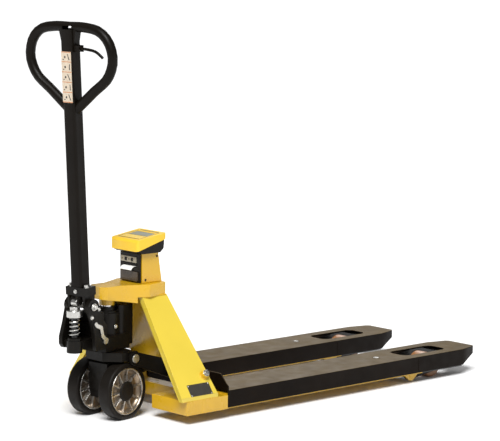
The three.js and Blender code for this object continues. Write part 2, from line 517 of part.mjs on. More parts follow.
// ---- handle -------------------------------------------------------------------------------------
const half = HANDLE_TUBE / 2;
const FLANGE = [34, 60]; // bottom and top of the foot's flange, above the pivot
const pressX = PRESS_ARM * Math.cos(PRESS_ANGLE - TILT);
const pressZ = PRESS_ARM * Math.sin(PRESS_ANGLE - TILT);
const foot = cut(
  join(
    block(-24, 24, -CHEEK_IN - 4, CHEEK_IN + 4, ...FLANGE),
    side(link(0, 0, 22, 0, 38, 23.9, 10), half + 5, CHEEK_IN - 1),
    side(link(0, 0, 22, 0, 38, 23.9, 10), -CHEEK_IN + 1, -half - 5),
    plan(rounded(-half + HANDLE_WALL + GAP, half - HANDLE_WALL - GAP, -half + HANDLE_WALL + GAP,
      half - HANDLE_WALL - GAP, 4.8), FLANGE[1] - 2, FLANGE[1] + 40, 3),
    across([[half + 0.6, FLANGE[1] - 1], [CHEEK_IN + 2, FLANGE[1] - 1], [half + 3, FLANGE[1] + 50],
      [half + 0.6, FLANGE[1] + 50]], -4, 4),
    side(link(pressX, pressZ, 8, -6, 36, 10, 8), 11.2, 18),
    side(link(pressX, pressZ, 8, -6, 36, 10, 8), -18, -11.2)),
  rodY(0, -HALF, HALF, 0, 8.1, 20));
const handlePin = join(rodY(0, -CHEEK_OUT - 3, CHEEK_OUT + 3, 0, 8, 20),
  rodY(0, -CHEEK_OUT - 4, -CHEEK_OUT - 1, 0, 12, 20), rodY(0, CHEEK_OUT + 1, CHEEK_OUT + 4, 0, 12, 20));
const pressRoller = join(rodY(pressX, -10.8, 10.8, pressZ, PRESS_R, 20));
const LEVER_Z = HANDLE_LENGTH - 64;
const LEVER_Y = -33;
const loop = [[-6, 0], [60, 0], [118, -11], [152, -42], [LOOP_HALF, -86], [161, -114], [141, -150],
  [88, -190], [34, -232], [-4, -262]];
const loopSide = (s, r = LOOP_TUBE_R, n = 6, steps = 24) => pipe(new THREE.CatmullRomCurve3(
  loop.map(([y, z]) =>
  new THREE.Vector3(0, s * y * (LOOP_HALF / 165.5), HANDLE_LENGTH + z)), false, 'centripetal'),
r, n, steps);
const grip = cut(
  join(
    plan(rounded(-half, half, -half, half, 8), FLANGE[1] + GAP, HANDLE_LENGTH - 6, 3),
    across([[-half, HANDLE_LENGTH - 60], [half, HANDLE_LENGTH - 60], [34, HANDLE_LENGTH - 6],
      [34, HANDLE_LENGTH + 10], [-34, HANDLE_LENGTH + 10], [-34, HANDLE_LENGTH - 6]], -13, 13),
    loopSide(1), loopSide(-1),
    block(7, 11, LEVER_Y - 9, -half + 3, LEVER_Z - 10, LEVER_Z + 10),
    block(-11, -7, LEVER_Y - 9, -half + 3, LEVER_Z - 10, LEVER_Z + 10)),
  rodX(-30, 30, LEVER_Y, LEVER_Z, 3.4, 12),
  plan(rounded(-half + HANDLE_WALL, half - HANDLE_WALL, -half + HANDLE_WALL, half - HANDLE_WALL, 5),
    40, HANDLE_LENGTH + 4, 2),
  loopSide(1, LOOP_TUBE_R - HANDLE_WALL, 3, 16), loopSide(-1, LOOP_TUBE_R - HANDLE_WALL, 3, 16));
const lever = join(
  rodX(-6.5, 6.5, LEVER_Y, LEVER_Z, 8, 16), rodX(-12, 12, LEVER_Y, LEVER_Z, 3, 12),
  pipe(new THREE.CatmullRomCurve3([[LEVER_Y - 4, 0], [-66, -1], [-100, -7], [-121, -20], [-126, -24]]
    .map(([y, z]) => new THREE.Vector3(0, y, LEVER_Z + z))), 4.5, 5, 16));

// ---- lifting linkage ----------------------------------------------------------------------------
const armLong = Math.hypot(CRANK_X - YOKE_PIN_X, YOKE_PIN_Z - CRANK_Z);
const armAt = (d) => [CRANK_X - d * Math.cos(crankRise), CRANK_Z + d * Math.sin(crankRise)];
const armShort = CRANK_X - YOKE_PIN_X;
const crankArm = cut(
  side(link(...armAt(armLong - 3), 20.5, CRANK_X, CRANK_Z, 30, 10), ARM_IN, ARM_OUT),
  side(link(...armAt(armLong + 0.6), YOKE_PIN_R + 2, ...armAt(armShort - 0.6), YOKE_PIN_R + 2, 8),
    ARM_IN - 5, ARM_OUT + 5));
const crankTail = join(
  side(link(CRANK_X, CRANK_Z, 28, rodFrontX, rodFrontZ, 11, 10), ROD_Y - 13, ROD_Y - 9),
  side(link(CRANK_X, CRANK_Z, 28, rodFrontX, rodFrontZ, 11, 10), ROD_Y + 9, ROD_Y + 13),
  rodY(rodFrontX, ROD_Y - 10, ROD_Y + 10, rodFrontZ, 6, 16));
const crank = join(
  rodY(CRANK_X, -ROD_Y - 13, ROD_Y + 13, CRANK_Z, CRANK_TUBE_R, 32),
  crankArm, mirror(crankArm), crankTail, mirror(crankTail));

const slotDrop = crankLever * (1 - Math.cos(crankHalf));
const slotRise = ROD_PIN * (1 - Math.cos(bracketHalf));
const rod = cut(
  join(
    rodX(rodFrontX, rodBackX, ROD_Y, rodBackZ, ROD_R, 16),
    plan(rounded(rodFrontX - 12, rodFrontX + 24, ROD_Y - 6, ROD_Y + 6, 3),
      rodFrontZ - slotDrop - 12, rodFrontZ + 11, 2),
    plan(rounded(rodBackX - 24, rodBackX + 12, ROD_Y - 6, ROD_Y + 6, 3),
      rodBackZ - 11, rodBackZ + slotRise + 11, 2)),
  side(link(rodFrontX, rodFrontZ + 0.4, 6.6, rodFrontX, rodFrontZ - slotDrop - 0.4, 6.6, 8),
    ROD_Y - 9, ROD_Y + 9),
  side(link(rodBackX, rodBackZ - 0.4, 6.8, rodBackX, rodBackZ + slotRise + 0.4, 6.8, 8),
    ROD_Y - 9, ROD_Y + 9));

const bracketPlate = (y) => side([...link(ROLLER_X, ROLLER_R, 17, BRACKET_X, BRACKET_Z, 18, 8)],
  FORK_MID + y, FORK_MID + y + 8);
const bracketEar = (y) => side(
  [...link(rodBackX, rodBackZ, 12, BRACKET_X + 4, BRACKET_Z, 17, 8)], FORK_MID + y, FORK_MID + y + 8);
const bracket = cut(
  join(bracketPlate(41), bracketPlate(-49), bracketEar(41), bracketEar(-49),
    block(BRACKET_X + 30, BRACKET_X + 56, FORK_MID - 42, FORK_MID + 42, BRACKET_Z - 8, BRACKET_Z + 18),
    rodY(rodBackX, FORK_MID - 42, FORK_MID + 42, rodBackZ, 6, 16)),
  rodY(BRACKET_X, 0, HALF, BRACKET_Z, PIN_R + RUN, 20),
  rodY(ROLLER_X, 0, HALF, ROLLER_R, AXLE_R + 0.3, 20));
const pivotPin = join(rodY(BRACKET_X, FORK_MID - 61, FORK_MID + 61, BRACKET_Z, PIN_R - GAP, 20));
const rollerAxle = rodY(ROLLER_X, FORK_MID - 50, FORK_MID + 50, ROLLER_R, AXLE_R, 20);
const roller = cut(
  turned([[0, -ROLLER_HALF], [ROLLER_R - 3, -ROLLER_HALF], [ROLLER_R, -ROLLER_HALF + 3],
    [ROLLER_R, ROLLER_HALF - 3], [ROLLER_R - 3, ROLLER_HALF], [0, ROLLER_HALF]], 40)
    .rotateX(-Math.PI / 2).translate(ROLLER_X, FORK_MID, ROLLER_R),
  rodY(ROLLER_X, 0, HALF, ROLLER_R, AXLE_R + RUN, 20));

// ---- assembly -----------------------------------------------------------------------------------
put(root, 'hood', hood, YELLOW);
put(root, 'back_plate', backPlate, YELLOW);
put(root, 'cross_box', crossBox, YELLOW);
put(root, 'column_housing', column, YELLOW);
put(root, 'battery', onHood(block(143, 160, -40, 40, 416, 474)), PLASTIC);
put(root, 'printer_panel', onHood(panel), PLASTIC);
put(root, 'printer_door', onHood(door), PLASTIC);
put(root, 'paper_strip', onHood(paper), PAPER);
put(root, 'paper_roll', onHood(roll), PAPER);
BUTTON_Y.forEach((y, i) =>
  put(root, 'printer_button_' + 'ab'[i], onHood(rodX(90.6, 96.6, y, BUTTON_Z, 5, 16)), GREY));
put(root, 'indicator_lower', onHood(headLower), PLASTIC);
put(root, 'indicator_upper', onHood(headUpper), YELLOW);
put(root, 'indicator_screen', onHood(screen), GREY);
put(root, 'ram', ram, CHROME);
for (const [name, on] of sides) {
  put(root, 'yoke_pin_' + name, on(yokePin), STEEL);
  put(root, 'leg_' + name, on(leg), YELLOW);
  put(root, 'leg_bolt_' + name, on(join(discOn(...LEG_BOLT, 14, GAP, 4, 20),
    discOn(...LEG_BOLT, 8, 3, 8, 6))), STEEL);
  put(root, 'base_box_' + name, on(base), YELLOW);
  put(root, 'fork_inner_' + name, on(inner), YELLOW);
  put(root, 'fork_cover_' + name, on(cover), BLACK);
  put(root, 'load_cell_heel_' + name, on(cell(CELL_X[0])), ALU);
  put(root, 'load_cell_tip_' + name, on(cell(CELL_X[1])), ALU);
  put(root, 'cover_screw_' + name,
    on(rodZ(BOLT_X, FORK_MID, FORK_TOP - 5 + GAP, FORK_TOP + 1, 9.5, 6)), STEEL);
  put(root, 'bracket_pin_' + name, on(pivotPin), STEEL);
  put(root, 'push_rod_' + name, on(rod), BLACK);
  put(root, 'roller_bracket_' + name, on(bracket), YELLOW);
  put(root, 'roller_axle_' + name, on(rollerAxle), STEEL);
  put(root, 'load_roller_' + name, on(roller), PU);
  put(steering, 'wheel_tyre_' + name, on(toSolid(tyre).translate([0, 0, WHEEL_R])), RUBBER);
  put(steering, 'wheel_hub_' + name, on(toSolid(hub).translate([0, 0, WHEEL_R])), ALU);
}
put(root, 'crank', crank, BLACK);
put(root, 'yoke', yoke, BLACK);
put(steering, 'pump_body', pump, BLACK);
put(steering, 'wheel_axle', axle, STEEL);
put(steering, 'piston', piston, BLACK);
put(steering, 'piston_spring', spring, STEEL);
put(steering, 'release_strip', release, CHROME);
put(handle, 'handle_foot', foot, BLACK);
put(handle, 'handle_pin', handlePin, STEEL);
put(handle, 'press_roller', pressRoller, STEEL);
put(handle, 'handle_grip', grip, BLACK);
put(handle, 'control_lever', lever, BLACK);

root.updateMatrixWorld(true);
const reach = new THREE.Box3().setFromObject(root, true);
root.position.set(-(reach.min.x + reach.max.x) / 2, 0, 0);

export default root;
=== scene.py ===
import json
import math
import bmesh
import bpy
import numpy as np
from mathutils import Matrix, Vector


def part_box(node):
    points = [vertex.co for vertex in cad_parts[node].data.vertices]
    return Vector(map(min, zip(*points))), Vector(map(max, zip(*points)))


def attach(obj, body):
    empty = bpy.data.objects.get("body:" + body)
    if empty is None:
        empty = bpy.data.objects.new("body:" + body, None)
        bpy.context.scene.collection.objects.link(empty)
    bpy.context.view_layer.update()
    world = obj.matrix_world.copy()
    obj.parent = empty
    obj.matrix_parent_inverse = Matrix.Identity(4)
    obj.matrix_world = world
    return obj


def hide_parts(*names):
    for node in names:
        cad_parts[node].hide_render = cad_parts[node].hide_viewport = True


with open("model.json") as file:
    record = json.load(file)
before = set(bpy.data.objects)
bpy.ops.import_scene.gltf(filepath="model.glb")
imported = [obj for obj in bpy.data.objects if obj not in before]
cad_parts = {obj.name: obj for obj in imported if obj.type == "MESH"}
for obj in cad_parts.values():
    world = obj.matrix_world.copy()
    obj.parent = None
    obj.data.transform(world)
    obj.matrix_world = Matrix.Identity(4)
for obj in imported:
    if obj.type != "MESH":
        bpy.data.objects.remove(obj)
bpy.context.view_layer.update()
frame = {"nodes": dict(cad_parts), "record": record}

# Camera. It stands on the operator's right, a little above, with a long lens, and its place is
# given from the king pin.
king_x = frame["record"]["behaviour"]["joints"][1]["pos_m"][0]
cam_data = bpy.data.cameras.new("photo_camera")
cam_data.sensor_width = 36.0
cam_data.lens = 171.13
cam_data.clip_end = 400.0
camera = bpy.data.objects.new("photo_camera", cam_data)
bpy.context.collection.objects.link(camera)
bpy.context.scene.camera = camera
turn, dip, roll = math.radians(-42.68), math.radians(7.678), math.radians(0.582)
ahead = np.array([-math.sin(turn) * math.cos(dip), math.cos(turn) * math.cos(dip), -math.sin(dip)])
level = np.array([math.cos(turn), math.sin(turn), 0.0])
upward = np.cross(level, ahead)
cam_x = math.cos(roll) * level + math.sin(roll) * upward
cam_y = -math.sin(roll) * level + math.cos(roll) * upward
place = Matrix.Identity(4)
for row in range(3):
    place[row][0], place[row][1], place[row][2] = cam_x[row], cam_y[row], -ahead[row]
place[0][3], place[1][3], place[2][3] = -5.3630 + 0.791 + king_x, -5.6053, 1.5886
camera.matrix_world = place

# Studio. A pale floor that runs into a pale surround, one large soft key from the upper left,
# a fill behind the camera and a low rim light from the far right.
def grid_mesh(name, points, material=None, smooth=True, wrap=False):
    """A mesh from a rows x columns array of points: each cell of the grid is one four-sided face;
    with wrap, the last column joins the first."""
    points = np.asarray(points, dtype=np.float64)
    rows, cols = points.shape[:2]
    i = np.arange(rows - 1)[:, None]
    j = np.arange(cols if wrap else cols - 1)[None, :]
    k = (j + 1) % cols
    quads = np.stack([i * cols + j, i * cols + k, (i + 1) * cols + k, (i + 1) * cols + j], axis=-1)
    mesh = bpy.data.meshes.new(name)
    mesh.from_pydata(points.reshape(-1, 3).tolist(), [], quads.reshape(-1, 4).tolist())
    mesh.polygons.foreach_set("use_smooth", [smooth] * len(mesh.polygons))
    mesh.update()
    obj = bpy.data.objects.new(name, mesh)
    bpy.context.collection.objects.link(obj)
    if material:
        mesh.materials.append(material)
    return obj

u, v = np.meshgrid(np.linspace(-120, 120, 3), np.linspace(-120, 120, 3))
floor = grid_mesh("studio_floor", np.stack([u, v, np.zeros_like(u)], axis=-1))
floor_paint = bpy.data.materials.new("studio_floor_white")
floor_paint.use_nodes = True
floor_paint.node_tree.nodes["Principled BSDF"].inputs["Base Color"].default_value = (0.94, 0.94, 0.94, 1)
floor_paint.node_tree.nodes["Principled BSDF"].inputs["Roughness"].default_value = 0.9
floor_paint.node_tree.nodes["Principled BSDF"].inputs["Specular IOR Level"].default_value = 0.0
floor.data.materials.append(floor_paint)
world = bpy.data.worlds.new("studio_world")
world.use_nodes = True
tree = world.node_tree
back = tree.nodes["Background"]
back.inputs["Color"].default_value = (1, 1, 1, 1)
back.inputs["Strength"].default_value = 0.23
seen = tree.nodes.new("ShaderNodeBackground")
seen.inputs["Strength"].default_value = 1.2
path = tree.nodes.new("ShaderNodeLightPath")
choose = tree.nodes.new("ShaderNodeMixShader")
tree.links.new(path.outputs["Is Camera Ray"], choose.inputs["Fac"])
tree.links.new(back.outputs[0], choose.inputs[1])
tree.links.new(seen.outputs[0], choose.inputs[2])
tree.links.new(choose.outputs[0], tree.nodes["World Output"].inputs["Surface"])
bpy.context.scene.world = world
bpy.context.scene.view_settings.view_transform = "Standard"
key = bpy.data.lights.new("key_light", "SUN")
key.energy = 3.9
key.angle = math.radians(28)
key_obj = bpy.data.objects.new("key_light", key)
key_obj.rotation_euler = Vector((0.62, 0.52, -1.0)).to_track_quat("-Z", "Y").to_euler()
bpy.context.collection.objects.link(key_obj)
for name, spot, aim, size, watts in (
        ("fill_light", (0.6, -4.6, 1.6), (0.1, 0, 0.3), 2.2, 16),
        ("rim_light", (2.8, 2.6, 2.4), (0, 0, 0.3), 1.6, 40)):
    lamp = bpy.data.lights.new(name, "AREA")
    lamp.size = size
    lamp.energy = watts
    lamp_obj = bpy.data.objects.new(name, lamp)
    lamp_obj.location = spot
    lamp_obj.rotation_euler = (Vector(aim) - Vector(spot)).to_track_quat("-Z", "Y").to_euler()
    bpy.context.collection.objects.link(lamp_obj)

# Welded frame: hood, legs, back plate, cross box, base boxes and inner forks are bent and welded
# steel plate, sprayed with one coat of gloss yellow. Every sheet edge is slightly rounded, and the
# paint has a fine orange peel, faint cloudiness and darker grime low down.
def dressed(node, material, body, bevel=0.0012, segments=2, name=None, angle=34.0):
    """The node's own surface with its doubles merged and its flat facets joined, every edge sharper
    than the angle rounded by bevel, then shaded smooth; it stands for the node on its body."""
    source = frame["nodes"][node]
    bm = bmesh.new()
    bm.from_mesh(source.data)
    bmesh.ops.remove_doubles(bm, verts=bm.verts, dist=2e-5)
    bmesh.ops.dissolve_limit(bm, angle_limit=math.radians(1.0), verts=bm.verts, edges=bm.edges)
    mesh = bpy.data.meshes.new(name or node + "_skin")
    bm.to_mesh(mesh)
    bm.free()
    obj = bpy.data.objects.new(name or node + "_skin", mesh)
    bpy.context.collection.objects.link(obj)
    mesh.materials.clear()
    mesh.materials.append(material)
    if bevel:
        round_off = obj.modifiers.new("edge_round", "BEVEL")
        round_off.width = bevel
        round_off.segments = segments
        round_off.limit_method = "ANGLE"
        round_off.angle_limit = math.radians(angle)
        round_off.use_clamp_overlap = True
        round_off.harden_normals = True
    for poly in mesh.polygons:
        poly.use_smooth = True
    mesh.set_sharp_from_angle(angle=math.radians(angle))
    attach(obj, body)
    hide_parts(node)
    return obj


def coat(name, colour, roughness, metallic=0.0, clear=0.0, cloud=(9.0, 0.06), grain=(900.0, 0.10, 0.0002),
         shine=0.08, grime=None, specular=0.5, upper=None, beyond=None):
    """A procedural finish on Object coordinates. Colour = colour x (1 +- cloud amount x noise);
    roughness = roughness +- shine x noise; bump = grain noise x strength; grime = (height, colour)
    blends towards a dirt colour below that height, broken up by noise. upper = a lighter colour painted
    onto faces that look up, painted light from above; beyond = (axis letter, place, colour, metallic) takes
    over past that place."""
    mat = bpy.data.materials.new(name)
    mat.use_nodes = True
    tree = mat.node_tree
    shader = tree.nodes["Principled BSDF"]
    where = tree.nodes.new("ShaderNodeTexCoord")

    def noise(scale, detail=3.0):
        n = tree.nodes.new("ShaderNodeTexNoise")
        n.inputs["Scale"].default_value = scale
        n.inputs["Detail"].default_value = detail
        tree.links.new(where.outputs["Object"], n.inputs["Vector"])
        return n.outputs["Fac"]

    ramp = tree.nodes.new("ShaderNodeValToRGB")
    low = [max(0.0, c * (1 - cloud[1])) for c in colour]
    high = [min(1.0, c * (1 + cloud[1])) for c in colour]
    ramp.color_ramp.elements[0].position, ramp.color_ramp.elements[0].color = 0.32, (*low, 1)
    ramp.color_ramp.elements[1].position, ramp.color_ramp.elements[1].color = 0.68, (*high, 1)
    tree.links.new(noise(cloud[0]), ramp.inputs["Fac"])
    colour_out = ramp.outputs["Color"]
    if grime:
        split = tree.nodes.new("ShaderNodeSeparateXYZ")
        tree.links.new(where.outputs["Object"], split.inputs[0])
        fall = tree.nodes.new("ShaderNodeMapRange")
        fall.inputs["From Min"].default_value, fall.inputs["From Max"].default_value = grime[0], 0.0
        fall.inputs["To Max"].default_value = 0.75
        tree.links.new(split.outputs["Z"], fall.inputs["Value"])
        patch = tree.nodes.new("ShaderNodeMath")
        patch.operation = "MULTIPLY"
        tree.links.new(fall.outputs["Result"], patch.inputs[0])
        tree.links.new(noise(38.0, 6.0), patch.inputs[1])
        dirty = tree.nodes.new("ShaderNodeMix")
        dirty.data_type = "RGBA"
        tree.links.new(patch.outputs[0], dirty.inputs["Factor"])
        tree.links.new(colour_out, dirty.inputs["A"])
        dirty.inputs["B"].default_value = (*grime[1], 1)
        colour_out = dirty.outputs["Result"]
    # Faces that look up are blended towards a lighter colour, broken up by noise: painted light from above.
    if upper:
        facing = tree.nodes.new("ShaderNodeNewGeometry")
        parts = tree.nodes.new("ShaderNodeSeparateXYZ")
        tree.links.new(facing.outputs["Normal"], parts.inputs[0])
        look = tree.nodes.new("ShaderNodeMapRange")
        look.inputs["From Min"].default_value, look.inputs["From Max"].default_value = 0.55, 0.95
        tree.links.new(parts.outputs["Z"], look.inputs["Value"])
        top_light_mix = tree.nodes.new("ShaderNodeMix")
        top_light_mix.data_type = "RGBA"
        tree.links.new(look.outputs["Result"], top_light_mix.inputs["Factor"])
        tree.links.new(colour_out, top_light_mix.inputs["A"])
        top_light_ramp = tree.nodes.new("ShaderNodeValToRGB")
        top_light_ramp.color_ramp.elements[0].position, top_light_ramp.color_ramp.elements[1].position = 0.3, 0.7
        top_light_ramp.color_ramp.elements[0].color = (*[c * 0.86 for c in upper], 1)
        top_light_ramp.color_ramp.elements[1].color = (*[c * 1.14 for c in upper], 1)
        tree.links.new(noise(16.0, 6.0), top_light_ramp.inputs["Fac"])
        tree.links.new(top_light_ramp.outputs["Color"], top_light_mix.inputs["B"])
        colour_out = top_light_mix.outputs["Result"]
    # Past the given place another colour takes over; the script uses this for painted shade.
    if beyond:
        axes = tree.nodes.new("ShaderNodeSeparateXYZ")
        tree.links.new(where.outputs["Object"], axes.inputs[0])
        past = tree.nodes.new("ShaderNodeMath")
        past.operation = "GREATER_THAN"
        past.inputs[1].default_value = beyond[1]
        tree.links.new(axes.outputs[beyond[0]], past.inputs[0])
        swap = tree.nodes.new("ShaderNodeMix")
        swap.data_type = "RGBA"
        tree.links.new(past.outputs[0], swap.inputs["Factor"])
        tree.links.new(colour_out, swap.inputs["A"])
        swap.inputs["B"].default_value = (*beyond[2], 1)
        colour_out = swap.outputs["Result"]
        level_of = tree.nodes.new("ShaderNodeMapRange")
        level_of.inputs["To Min"].default_value, level_of.inputs["To Max"].default_value = metallic, beyond[3]
        tree.links.new(past.outputs[0], level_of.inputs["Value"])
        tree.links.new(level_of.outputs["Result"], shader.inputs["Metallic"])
    tree.links.new(colour_out, shader.inputs["Base Color"])
    gloss = tree.nodes.new("ShaderNodeMapRange")
    gloss.inputs["From Min"].default_value, gloss.inputs["From Max"].default_value = 0.3, 0.7
    gloss.inputs["To Min"].default_value = max(0.02, roughness - shine)
    gloss.inputs["To Max"].default_value = min(1.0, roughness + shine)
    tree.links.new(noise(cloud[0] * 3.1, 5.0), gloss.inputs["Value"])
    tree.links.new(gloss.outputs["Result"], shader.inputs["Roughness"])
    bump = tree.nodes.new("ShaderNodeBump")
    bump.inputs["Strength"].default_value = grain[1]
    bump.inputs["Distance"].default_value = grain[2]
    tree.links.new(noise(grain[0]), bump.inputs["Height"])
    tree.links.new(bump.outputs["Normal"], shader.inputs["Normal"])
    shader.inputs["Metallic"].default_value = metallic
    shader.inputs["Coat Weight"].default_value = clear
    shader.inputs["Coat Roughness"].default_value = 0.12
    shader.inputs["Specular IOR Level"].default_value = specular
    return mat


def built(name, sheets, material, body, bevel=0.0, wrap=True, angle=35.0, replaces=(), segments=2):
    """One piece from several grids of points in metres. Each grid is turned so that its volume about
    its own middle is positive; doubled points are merged and degenerate edges and faces dissolved;
    sharper edges than the angle stay sharp or are rounded by bevel."""
    points, faces, base = [], [], 0
    for sheet in sheets:
        sheet = np.asarray(sheet, dtype=np.float64)
        rows, cols = sheet.shape[:2]
        i = np.arange(rows - 1)[:, None]
        j = np.arange(cols if wrap else cols - 1)[None, :]
        k = (j + 1) % cols
        quads = np.stack([i * cols + j, i * cols + k, (i + 1) * cols + k, (i + 1) * cols + j], axis=-1)
        flat, quads = sheet.reshape(-1, 3), quads.reshape(-1, 4)
        corner = flat[quads] - flat.mean(axis=0)
        volume = np.einsum("ni,ni->", corner[:, 0], np.cross(corner[:, 1], corner[:, 2]))
        volume += np.einsum("ni,ni->", corner[:, 0], np.cross(corner[:, 2], corner[:, 3]))
        points.append(flat)
        faces.append((quads if volume > 0 else quads[:, ::-1]) + base)
        base += len(flat)
    mesh = bpy.data.meshes.new(name)
    mesh.from_pydata(np.concatenate(points).tolist(), [], np.concatenate(faces).tolist())
    bm = bmesh.new()
    bm.from_mesh(mesh)
    bmesh.ops.remove_doubles(bm, verts=bm.verts, dist=1e-6)
    bmesh.ops.dissolve_degenerate(bm, edges=bm.edges, dist=1e-7)
    bm.to_mesh(mesh)
    bm.free()
    mesh.polygons.foreach_set("use_smooth", [True] * len(mesh.polygons))
    mesh.set_sharp_from_angle(angle=math.radians(angle))
    mesh.materials.append(material)
    obj = bpy.data.objects.new(name, mesh)
    bpy.context.collection.objects.link(obj)
    if bevel:
        round_off = obj.modifiers.new("edge_round", "BEVEL")
        round_off.width = bevel
        round_off.segments = segments
        round_off.limit_method = "ANGLE"
        round_off.angle_limit = math.radians(angle)
    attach(obj, body)
    if replaces:
        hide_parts(*replaces)
    return obj


def turned(profile, place, n=64):
    """Grid of a turned shape: each profile point is (radius, height) in mm; place gives the origin,
    two directions across the axis and the axis itself."""
    origin, ex, ey, ez = place
    a = np.linspace(0, 2 * math.pi, n, endpoint=False)
    r = np.array([p[0] for p in profile])[:, None, None] / 1000
    h = np.array([p[1] for p in profile])[:, None, None] / 1000
    ring = np.cos(a)[None, :, None] * ex + np.sin(a)[None, :, None] * ey
    return origin + r * ring + h * ez


def slab(outline, low, high, place):
    """Grid of a flat plate in mm: a convex outline given in the plane of the first two directions,
    from low to high along the third, closed to the outline's middle at both ends."""
    origin, ex, ey, ez = place
    out = np.asarray(outline, dtype=np.float64) / 1000
    mid = np.repeat(out.mean(axis=0)[None], len(out), axis=0)
    rows = [(mid, low), (out, low), (out, high), (mid, high)]
    return np.stack([origin + p[:, :1] * ex + p[:, 1:] * ey + h / 1000 * ez for p, h in rows])


def rounded(u0, u1, v0, v1, radius, n=5):
    """Outline of a rectangle with round corners, in mm."""
    a = np.linspace(0, math.pi / 2, n)
    pts = []
    for cu, cv, start in ((u1 - radius, v1 - radius, 0), (u0 + radius, v1 - radius, 1),
                          (u0 + radius, v0 + radius, 2), (u1 - radius, v0 + radius, 3)):
        for b in a + start * math.pi / 2:
            pts.append((cu + radius * math.cos(b), cv + radius * math.sin(b)))
    return pts


def bead(start, end, radius, seed, n=60, m=10):
    """Grid of a weld bead in mm from start to end: a round bar whose radius ripples along its length
    and whose ends draw in to a point."""
    start, end = np.asarray(start, dtype=np.float64) / 1000, np.asarray(end, dtype=np.float64) / 1000
    along = (end - start) / np.linalg.norm(end - start)
    ex = np.cross(along, (0.3, 0.5, 0.81))
    ex /= np.linalg.norm(ex)
    ey = np.cross(along, ex)
    t = np.linspace(0, 1, n)
    rng = np.random.default_rng(seed)
    drop_pitch = 3.2
    drops = np.abs(np.sin(t * np.linalg.norm(end - start) * 1000 / drop_pitch))
    ripple = 1 + 0.16 * drops + 0.06 * rng.standard_normal(n)
    r = radius / 1000 * ripple * np.clip(np.minimum(t, 1 - t) * 30, 0, 1)
    a = np.linspace(0, 2 * math.pi, m, endpoint=False)
    ring = np.cos(a)[None, :, None] * ex + np.sin(a)[None, :, None] * ey
    return (start + t[:, None] * (end - start))[:, None, :] + r[:, None, None] * ring


joint = {j["name"]: j for j in frame["record"]["behaviour"]["joints"]}
up = np.array([0.0, 0.0, 1.0])
yellow_paint = coat("yellow_gloss_paint", (0.64, 0.375, 0.009), 0.30, clear=0.45, cloud=(5.0, 0.05),
                    grain=(420.0, 0.12, 0.0004), grime=(0.09, (0.34, 0.19, 0.02)))
# The legs get a lighter, greener copy of the same yellow: painted light for the light their faces catch from
# above.
leg_yellow_painted_light = coat("yellow_leg_paint_painted_light", (0.66, 0.50, 0.050), 0.34, clear=0.3, cloud=(4.0, 0.05),
                  grain=(420.0, 0.12, 0.0004))
# The inner forks and the bracket pins share a slightly darker copy of the yellow: painted shade for parts
# inside the covers. Past 1.137 m ahead of the king pin it turns near-black: painted shade deep in the cover
# cut-outs.
inner_yellow_painted_shade = coat("yellow_inner_paint_painted_shade", (0.60, 0.35, 0.009), 0.34, clear=0.3, cloud=(5.0, 0.05),
                   grain=(420.0, 0.12, 0.0004), beyond=("X", king_x + 1.137, (0.010, 0.009, 0.008), 0.0))
for node in ("hood", "back_plate", "cross_box"):
    dressed(node, yellow_paint, "chassis", 0.0016 if node == "hood" else 0.0010)
for hand in ("left", "right"):
    dressed("leg_" + hand, leg_yellow_painted_light, "chassis", 0.0018)
    dressed("base_box_" + hand, yellow_paint, "chassis", 0.0022)
    dressed("fork_inner_" + hand, inner_yellow_painted_shade, "chassis", 0.0010)
    # Weld beads: along the foot of the leg, across the base box behind it, and along its head under
    # the hood; each is a line of small overlapping drops, painted over.
    s = 1 if hand == "left" else -1
    shift = king_x * 1000
    built("leg_welds_" + hand, [
        bead((shift + 76, s * 273.2, 75.4), (shift + 214, s * 273.2, 75.4), 2.0, 3),
        bead((shift + 76, s * 258, 75.8), (shift + 92, s * 258, 75.8), 2.4, 4),
        bead((shift + 90, s * 69.5, 372.4), (shift + 181, s * 69.5, 372.4), 2.4, 5),
        bead((shift + 213, s * 112, 75.6), (shift + 213, s * 262, 75.6), 2.2, 6)],
        yellow_paint, "chassis")

# Fork covers: black powder-coated channels that rest on the load cells, with a bolted screw near
# the tips and a butt seam where two sheets meet; the tops are painted a lighter brown, painted light falling
# on them from above.
fork_black = coat("fork_powder_black", (0.0062, 0.0036, 0.0020), 0.50, cloud=(7.0, 0.25),
                  grain=(650.0, 0.22, 0.0003), shine=0.08, specular=0.08, upper=(0.098, 0.068, 0.030))
zinc = coat("zinc_plated_steel", (0.62, 0.61, 0.58), 0.30, metallic=1.0, cloud=(60.0, 0.10),
            grain=(1500.0, 0.15, 0.0002))
for hand in ("left", "right"):
    dressed("fork_cover_" + hand, fork_black, "chassis", 0.0034, 4)
    s = 1 if hand == "left" else -1
    # Butt seam on both sides of the cover, a fine weld line ground nearly flush and painted over.
    built("cover_seam_" + hand, [bead((shift + 1114, s * y, 37), (shift + 1114, s * y, 84), 1.0, 7, 40, 8)
                                 for y in (274.8, 108.2)], fork_black, "chassis")
    dressed("cover_screw_" + hand, zinc, "chassis", 0.0006)
    for node in ("load_cell_heel_", "load_cell_tip_"):
        frame["nodes"][node + hand].data.materials.clear()
        frame["nodes"][node + hand].data.materials.append(zinc)
    dressed("bracket_pin_" + hand, inner_yellow_painted_shade, "chassis", 0.0008)

